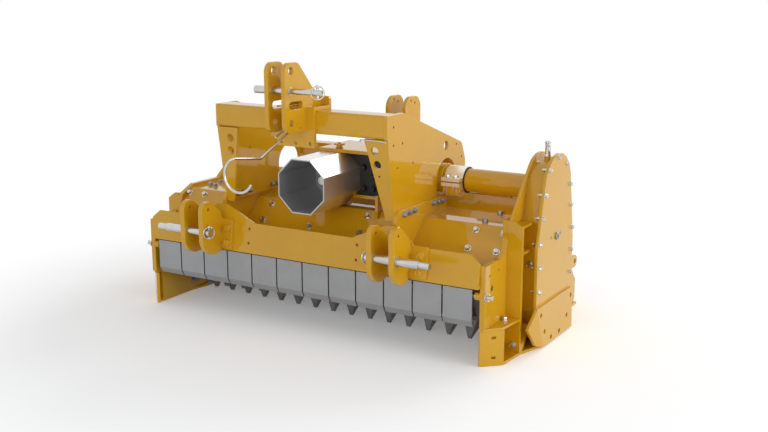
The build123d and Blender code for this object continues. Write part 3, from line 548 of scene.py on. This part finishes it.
# level plug in the middle of the cover, with a socket, and two sunk screws beside it
coverPlug = {
    "spot": (381.0, 363.0),
    "r": 0.0125,
    "tall": 0.007,
    "face": ((0, 0), (1, 0), (1, 0.7), (0.88, 1), (0.45, 1), (0.4, 0.3), (0, 0.3)),
    "screws": ((337.0, 365.5), (419.5, 365.0)),
    "screwR": 0.0055,
    "screwTall": 0.0016,
    "screwFace": ((0, 0), (1, 0), (1, 0.5), (0.85, 1), (0.4, 1), (0.35, 0.25), (0, 0.25)),
}
mesh = bmesh.new()
plugFace = profileOf(coverPlug["face"], coverPlug["r"], coverPlug["tall"])
lathe(mesh, axisAt(place(coverBolts["face"], *coverPlug["spot"]), (1, 0, 0)), plugFace, 28)
screwFace = profileOf(coverPlug["screwFace"], coverPlug["screwR"], coverPlug["screwTall"])
for y, z in coverPlug["screws"]:
    lathe(mesh, axisAt(place(coverBolts["face"], y, z), (1, 0, 0)), screwFace, 18)
makePiece("coverPlug", mesh, "worn_steel", "frame")
print("cover bolted")

# bolts of the hood: two rows on the slope, a few on the flat top
hoodBolts = {
    "flats": 0.0165,
    "slopeWay": (0.0, -0.691, 0.723),
    "rows": {"low": (148.0, 343.2), "high": (201.0, 393.8)},
    "low": (-559.0, -490.0, -272.0, -69.0, 141.0, 559.0, 661.0),
    "high": (-661.0, -588.0, -268.0, 143.0, 563.0, 663.0),
    "flat": ((572, 249), (566, 385), (-634, 291), (-633, 351), (-602, 283), (-560, 375)),
    "flatZ": 412.0,
    "flatWasher": 0.66,
}
mesh = bmesh.new()
for row in ("low", "high"):
    for x in hoodBolts[row]:
        addBolt(mesh, place(x, *hoodBolts["rows"][row]), hoodBolts["slopeWay"], hoodBolts["flats"])
makePiece("slopeBolts", mesh, "bright_steel", "frame")
mesh = bmesh.new()
for x, y in hoodBolts["flat"]:
    addBolt(mesh, place(x, y, hoodBolts["flatZ"]), (0, 0, 1), hoodBolts["flats"], hoodBolts["flatWasher"])
makePiece("flatBolts", mesh, "worn_steel", "frame")

# bolts that hold the webs to the cheeks, heads outside and nuts inside
cheekBolts = {
    "flats": 0.016,
    "washer": 0.68,
    "outer": 357.0,
    "inner": 333.0,
    "spots": ((79, 448), (113, 448), (146, 448), (286, 448), (318, 448)),
    "last": (351, 446),  # only through the cheek, over the arch
}
# painted shade: these zinc bolts take the darker grey plate finish, for the shade they sit in and mirror
mesh = bmesh.new()
for sign in (-1, 1):
    for y, z in cheekBolts["spots"] + (cheekBolts["last"],):
        outer = place(sign * cheekBolts["outer"], y, z)
        addBolt(mesh, outer, (sign, 0, 0), cheekBolts["flats"], cheekBolts["washer"])
    for y, z in cheekBolts["spots"]:
        addNut(mesh, place(sign * cheekBolts["inner"], y, z), (-sign, 0, 0), cheekBolts["flats"])
makePiece("cheekBolts", mesh, "worn_steel", "frame")
print("hood and cheeks bolted")

# painted bolts on the clevises' leaning base plates
clevisBolts = {
    "flats": 0.021,
    "washer": 0.66,
    "columns": (303.0, 468.0),
    "heights": (289.0, 341.0),
    "lean": 0.1355,
    "foot": (-11.0, 259.0),
    "plate": 12.1,
}
mesh = bmesh.new()
tilt = Vector((0, -1, clevisBolts["lean"])).normalized()
footY, footZ = clevisBolts["foot"]
for sign in (-1, 1):
    for x in clevisBolts["columns"]:
        for z in clevisBolts["heights"]:
            y = footY + (z - footZ) * clevisBolts["lean"] - clevisBolts["plate"]
            addBolt(mesh, place(sign * x, y, z), tilt, clevisBolts["flats"], clevisBolts["washer"])
makePiece("clevisBolts", mesh, "yellow_paint", "frame")

# lynch pins: a peg across the end of each hitch pin and a sprung ring round it
lynchSetup = {
    "wire": 0.0021,
    "peg": 0.0042,
    "ball": 0.0063,
    "ringSteps": 40,
    "top": {"x": 144.0, "line": (-102.6, 852.0), "r": 0.0215, "pegHalf": 0.019, "turn": 28},
    "lower": {"x": 323.0, "line": (-98.0, 338.0), "r": 0.0205, "pegHalf": 0.021, "turn": 62},
}


def addLynchPin(mesh, setup, sign):
    heart = place(sign * setup["x"], *setup["line"])
    up = Vector((0, 0, 1))
    ends = [heart - up * setup["pegHalf"], heart + up * setup["pegHalf"]]
    addTube(mesh, ends, lynchSetup["peg"], 14)
    ball = lynchSetup["ball"]
    cap = [(ball * math.sin(math.pi * k / 8), -ball * math.cos(math.pi * k / 8)) for k in range(9)]
    lathe(mesh, axisAt(ends[1], up), cap, 14)
    turned = math.radians(setup["turn"])
    across = Vector((math.cos(turned), math.sin(turned), 0))
    ring = []
    for step in range(lynchSetup["ringSteps"]):
        angle = 2 * math.pi * step / lynchSetup["ringSteps"]
        ring.append(heart + (across * math.cos(angle) + up * math.sin(angle)) * setup["r"])
    addTube(mesh, ring, lynchSetup["wire"], 10, True)


mesh = bmesh.new()
addLynchPin(mesh, lynchSetup["top"], 1)
for sign in (-1, 1):
    addLynchPin(mesh, lynchSetup["lower"], sign)
makePiece("lynchPins", mesh, "bright_steel", "frame")
print("hitch pins secured")

# oil plug on the deck: collar, stem and a flat cap
plugSetup = {
    "place": (20.4, 214.0, 623.0),
    "profile": (
        (0, 0), (0.013125, 0), (0.013125, 0.003), (0.0105, 0.0035), (0.0105, 0.012), (0.0205, 0.012),
        (0.0205, 0.017), (0.01927, 0.018), (0.0084, 0.018), (0.00735, 0.021), (0, 0.021),
    ),
}
mesh = bmesh.new()
lathe(mesh, axisAt(place(*plugSetup["place"]), (0, 0, 1)), plugSetup["profile"], 32)
makePiece("oilPlug", mesh, "yellow_paint", "frame")

# bolts on the gearbox's front face
gearboxBolts = {
    "face": 232.0,
    "flats": 0.017,
    "washer": 0.66,
    "spots": ((112, 487), (150, 487), (112, 560), (150, 588), (150, 530)),
}
mesh = bmesh.new()
for x, z in gearboxBolts["spots"]:
    spot = place(x, gearboxBolts["face"], z)
    addBolt(mesh, spot, (0, -1, 0), gearboxBolts["flats"], gearboxBolts["washer"])
makePiece("gearboxBolts", mesh, "black_paint", "frame")

# splined stub with six ribs and a groove, in place of the plain shaft end
splineSetup = {
    "node": "input_stub",
    "r": 0.01745,
    "root": 0.0149,
    "ribs": 6,
    "rib": (  # share of a pitch, radius
        (-0.4, "root"), (-0.25, "root"), (-0.25, "r"), (-0.12, "r"), (0.0, "r"),
        (0.12, "r"), (0.25, "r"), (0.25, "root"), (0.4, "root"),
    ),
    "groove": (0.067, 0.075),
    "grooveShare": 0.9,
    "chamfer": 0.003,
    "endShare": 0.83,
}
low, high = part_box(splineSetup["node"])
mesh = bmesh.new()
heart = Vector(((low.x + high.x) / 2, high.y, (low.z + high.z) / 2))
length = high.y - low.y
outline = []
for rib in range(splineSetup["ribs"]):
    for share, radius in splineSetup["rib"]:
        outline.append((2 * math.pi * (rib + share) / splineSetup["ribs"], splineSetup[radius]))
grooveStart, grooveEnd = splineSetup["groove"]
cuts = [
    (0.0, 1.0),
    (grooveStart, 1.0),
    (grooveStart, splineSetup["grooveShare"]),
    (grooveEnd, splineSetup["grooveShare"]),
    (grooveEnd, 1.0),
    (length - splineSetup["chamfer"], 1.0),
    (length, splineSetup["endShare"]),
]
rings = []
for along, share in cuts:
    ring = []
    for angle, radius in outline:
        reach = min(radius, splineSetup["r"] * share)
        spot = heart + Vector((math.cos(angle) * reach, -along, math.sin(angle) * reach))
        ring.append(mesh.verts.new(spot))
    rings.append(ring)
for first, second in zip(rings, rings[1:]):
    for side in range(len(outline)):
        ahead = (side + 1) % len(outline)
        mesh.faces.new((first[side], first[ahead], second[ahead], second[side]))
mesh.faces.new(rings[0])
mesh.faces.new(rings[-1])
stub = makePiece("splinedStub", mesh, "bright_steel", "frame")
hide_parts(splineSetup["node"])
print("gearbox dressed")

# back plate that closes the guard round the shaft, with four bolts
guardPlate = {
    "middle": (0.0, 228.0, 517.0),
    "thick": 0.0025,
    "hole": 0.0235,
    "apothem": 0.0903,
    "chamfer": 0.0006,
    "ring": 0.062,
    "bolts": 4,
    "flats": 0.013,
}
mesh = bmesh.new()
thick, ring = guardPlate["thick"], guardPlate["ring"]
corner = guardPlate["apothem"] / math.cos(math.pi / 8)
seat = axisAt(place(*guardPlate["middle"]), (0, -1, 0))
lathe(mesh, seat, ringOf(guardPlate["hole"], corner, thick, guardPlate["chamfer"]), 8, math.pi / 8)
for step in range(guardPlate["bolts"]):
    angle = 2 * math.pi * (step + 0.5) / guardPlate["bolts"]
    spot = seat @ Vector((ring * math.cos(angle), ring * math.sin(angle), thick))
    addBolt(mesh, spot, (0, -1, 0), guardPlate["flats"])
makePiece("guardPlate", mesh, "galvanised_steel", "frame")

# breather: hexagon foot, smooth body and a slotted vent cap
breatherSetup = {
    "node": "breather",
    "body": 0.0094,
    "cap": 0.0102,
    "capShare": 0.34,
    "foot": ((0, 0), (1, 0), (1, 0.14), (0.9, 0.18), (0, 0.18)),  # shares of cap and height
    "stem": ((0, 0.16), (1, 0.16)),  # shares of body and height
    "waist": ((1, 0), (0.8, 0.001), (0.8, 0.003)),  # share of body, metres over the cap's start
    "slots": ((1, 0.004), (1, 0.007), (0.86, 0.008), (0.86, 0.01), (1, 0.011)),
    "crown": ((1, -0.0015), (0.85, 0), (0.45, 0), (0.4, -0.002), (0, -0.002)),  # metres over the top
}
low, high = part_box(breatherSetup["node"])
mesh = bmesh.new()
tall = high.z - low.z
body, cap = breatherSetup["body"], breatherSetup["cap"]
capStart = tall * (1 - breatherSetup["capShare"])
seat = axisAt(Vector(((low.x + high.x) / 2, (low.y + high.y) / 2, low.z)), (0, 0, 1))
lathe(mesh, seat, profileOf(breatherSetup["foot"], cap, tall), 6)
shape = profileOf(breatherSetup["stem"], body, tall)
shape += profileOf(breatherSetup["waist"], body, 1, capStart)
shape += profileOf(breatherSetup["slots"], cap, 1, capStart)
shape += profileOf(breatherSetup["crown"], cap, 1, tall)
lathe(mesh, seat, shape, 28)
vent = makePiece("breatherVent", mesh, "bright_steel", "frame")
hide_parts(breatherSetup["node"])

# clamp collar: bolts through its lugs, ribs on its lower block and a black ring at its outer end
collarBolts = {"x": (383.0, 412.0), "y": 347.0, "top": 532.0, "flats": 0.013, "washer": 0.8}
mesh = bmesh.new()
for x in collarBolts["x"]:
    spot = place(x, collarBolts["y"], collarBolts["top"])
    addBolt(mesh, spot, (0, 0, 1), collarBolts["flats"], collarBolts["washer"])
makePiece("collarBolts", mesh, "bright_steel", "frame")
collarRibs = {
    "x": ((362.4, 371.0), (380.0, 408.0), (417.0, 431.6)),
    "y": (341.5, 351.0),
    "z": (472.0, 501.0),
    "rounding": 0.0016,
}
mesh = bmesh.new()
(y0, y1), (z0, z1) = collarRibs["y"], collarRibs["z"]
for x0, x1 in collarRibs["x"]:
    addPlate(mesh, place(x0, y0, z0), place(x1, y1, z1), collarRibs["rounding"])
makePiece("collarRibs", mesh, "yellow_paint", "frame")
collarSeal = {
    "middle": (432.0, 406.0, 517.0),
    "inner": 0.0413,
    "outer": 0.046,
    "thick": 0.003,
    "chamfer": 0.001,
    "shoulder": 0.7,
}
mesh = bmesh.new()
band = ringOf(
    collarSeal["inner"],
    collarSeal["outer"],
    collarSeal["thick"],
    collarSeal["chamfer"],
    collarSeal["shoulder"],
)
lathe(mesh, axisAt(place(*collarSeal["middle"]), (1, 0, 0)), band, 48)
makePiece("collarSeal", mesh, "black_paint", "frame")
print("cross shaft clamped")

# single bolts: housing wall, shelf and skid recess
skidBolts = {
    "flats": 0.0165,
    "spots": (
        ((733.0, 252.0, 288.4), (0, -1, 0)),
        ((702.0, 132.7, 126.0), (0, 0, 1)),
        ((717.0, 168.0, 33.0), (0, -1, 0)),
        ((-702.0, 132.7, 126.0), (0, 0, 1)),
        ((-717.0, 168.0, 33.0), (0, -1, 0)),
    ),
}
mesh = bmesh.new()
for point, way in skidBolts["spots"]:
    addBolt(mesh, place(*point), way, skidBolts["flats"])
makePiece("skidBolts", mesh, "bright_steel", "frame")

# bearing cover of the rotor on the left: ring of bolts
bearingBolts = {
    "x": -716.0,
    "line": (255.0, 175.24),
    "ring": 52.0,
    "count": 8,
    "flats": 0.017,
    "washer": 0.7,
}
mesh = bmesh.new()
for step in range(bearingBolts["count"]):
    angle = 2 * math.pi * (step + 0.5) / bearingBolts["count"]
    y = bearingBolts["line"][0] + bearingBolts["ring"] * math.cos(angle)
    z = bearingBolts["line"][1] + bearingBolts["ring"] * math.sin(angle)
    spot = place(bearingBolts["x"], y, z)
    addBolt(mesh, spot, (-1, 0, 0), bearingBolts["flats"], bearingBolts["washer"])
makePiece("bearingBolts", mesh, "bright_steel", "frame")

# washers and split pins on the ends of the flap rod
rodClips = {
    "x": 690.0,
    "line": (15.0, 231.0),
    "inner": 0.0081,
    "outer": 0.0145,
    "thick": 0.0025,
    "pinX": 700.0,
    "pinR": 0.0016,
    "pinHalf": 0.0115,
    "pinWay": (0, 0.35, 0.94),
}
mesh = bmesh.new()
inner, outer, thick = rodClips["inner"], rodClips["outer"], rodClips["thick"]
washer = [(inner, 0), (outer, 0), (outer, thick * 0.8), (outer * 0.97, thick), (inner, thick), (inner, 0)]
half = Vector(rodClips["pinWay"]) * rodClips["pinHalf"]
for sign in (-1, 1):
    lathe(mesh, axisAt(place(sign * rodClips["x"], *rodClips["line"]), (sign, 0, 0)), washer, 28)
    heart = place(sign * rodClips["pinX"], *rodClips["line"])
    addTube(mesh, [heart - half, heart + half], rodClips["pinR"], 10)
makePiece("rodClips", mesh, "bright_steel", "frame")

# wire clip under the top beam's right end
wireSetup = {
    "r": 0.0021,
    "path": (
        (243, -9, 694), (247, -14, 699), (268, -15, 699.5),
        (300, -15, 699), (330, -14.5, 698), (344, -13.5, 696),
    ),
}
mesh = bmesh.new()
addTube(mesh, [place(*point) for point in wireSetup["path"]], wireSetup["r"], 10)
makePiece("beamWire", mesh, "bright_steel", "frame")
print("small fittings done")

# The floor lights the part as a pale matte sheet. Seen directly or mirrored it is brighter, and it fades
# to plain white away from the part, so that only the shadow near the part is left.
floorSetup = {
    "half": 30,
    "colour": "#F6F6F6",
    "seen": 1.45,
    "cool": (0.985, 1.0, 1.02),  # takes the yellow bounce out of the shadow
    "fade": (0.95, 1.75),
    "lift": 0.18,
}
floorMaterial, tree, coords = newMaterial("paleFloor")
path = addNode(tree, "ShaderNodeLightPath")
matte = addNode(tree, "ShaderNodeBsdfDiffuse", {"Color": linear(floorSetup["colour"])})
tint = tuple(floorSetup["seen"] * c for c in floorSetup["cool"]) + (1,)
bright = addNode(tree, "ShaderNodeBsdfDiffuse", {"Color": tint})
glow = addNode(tree, "ShaderNodeEmission", {"Color": (1, 1, 1, 1), "Strength": 1.0})
away = addNode(tree, "ShaderNodeVectorMath", {"operation": "LENGTH"}, {0: coords})
near, far = floorSetup["fade"]
fade = addNode(
    tree,
    "ShaderNodeMapRange",
    {"interpolation_type": "SMOOTHSTEP", "From Min": near, "From Max": far, "To Min": floorSetup["lift"]},
    {"Value": away.outputs["Value"]},
)
shown = mixShader(tree, fade.outputs["Result"], bright.outputs["BSDF"], glow.outputs["Emission"])
seen = larger(tree, path.outputs["Is Camera Ray"], path.outputs["Is Glossy Ray"])
blend = mixShader(tree, seen, matte.outputs["BSDF"], shown)
addNode(tree, "ShaderNodeOutputMaterial", None, {"Surface": blend})
floorData = bpy.data.meshes.new("floor")
half = floorSetup["half"]
corners = [(-half, -half, 0), (half, -half, 0), (half, half, 0), (-half, half, 0)]
floorData.from_pydata(corners, [], [(0, 1, 2, 3)])
floorData.materials.append(floorMaterial)
floor = bpy.data.objects.new("floor", floorData)
bpy.context.scene.collection.objects.link(floor)

# The room is white to the eye and to mirrors. Its light falls off from the horizon to the zenith.
lightSetup = {
    "room": (0.84, 0.26),
    "lamps": {  # place, target, size, power
        "keyLamp": ((7.8, -0.6, 1.9), (0.1, 0, 0.4), 4.5, 168.0),
        "frontLamp": ((0.4, -4.2, 1.5), (0, 0, 0.4), 2.6, 22.0),
        "backLamp": ((1.5, 4.4, 2.9), (0, 0, 0.4), 2.6, 70.0),
    },
}
world = bpy.data.worlds.new("studio")
bpy.context.scene.world = world
world.use_nodes = True
tree = world.node_tree
tree.nodes.clear()
path = addNode(tree, "ShaderNodeLightPath")
direct = larger(tree, path.outputs["Is Camera Ray"], path.outputs["Is Transmission Ray"])
mirrored = larger(tree, direct, path.outputs["Is Glossy Ray"])
sky = addNode(tree, "ShaderNodeTexCoord")
height = addNode(tree, "ShaderNodeSeparateXYZ", None, {0: sky.outputs["Generated"]})
dim = spread(tree, height.outputs["Z"], lightSetup["room"])
soft = addNode(tree, "ShaderNodeBackground", {"Color": (1, 1, 1, 1)}, {"Strength": dim})
white = addNode(tree, "ShaderNodeBackground", {"Color": (1, 1, 1, 1), "Strength": 1.0})
mixed = mixShader(tree, mirrored, soft.outputs["Background"], white.outputs["Background"])
addNode(tree, "ShaderNodeOutputWorld", None, {"Surface": mixed})

for name, (point, target, size, power) in lightSetup["lamps"].items():
    data = bpy.data.lights.new(name, "AREA")
    data.shape = "DISK"
    data.size = size
    data.energy = power
    lamp = bpy.data.objects.new(name, data)
    bpy.context.scene.collection.objects.link(lamp)
    lamp.location = point
    lamp.rotation_mode = "QUATERNION"
    lamp.rotation_quaternion = (Vector(target) - Vector(point)).to_track_quat("-Z", "Y")
print("stage lit")
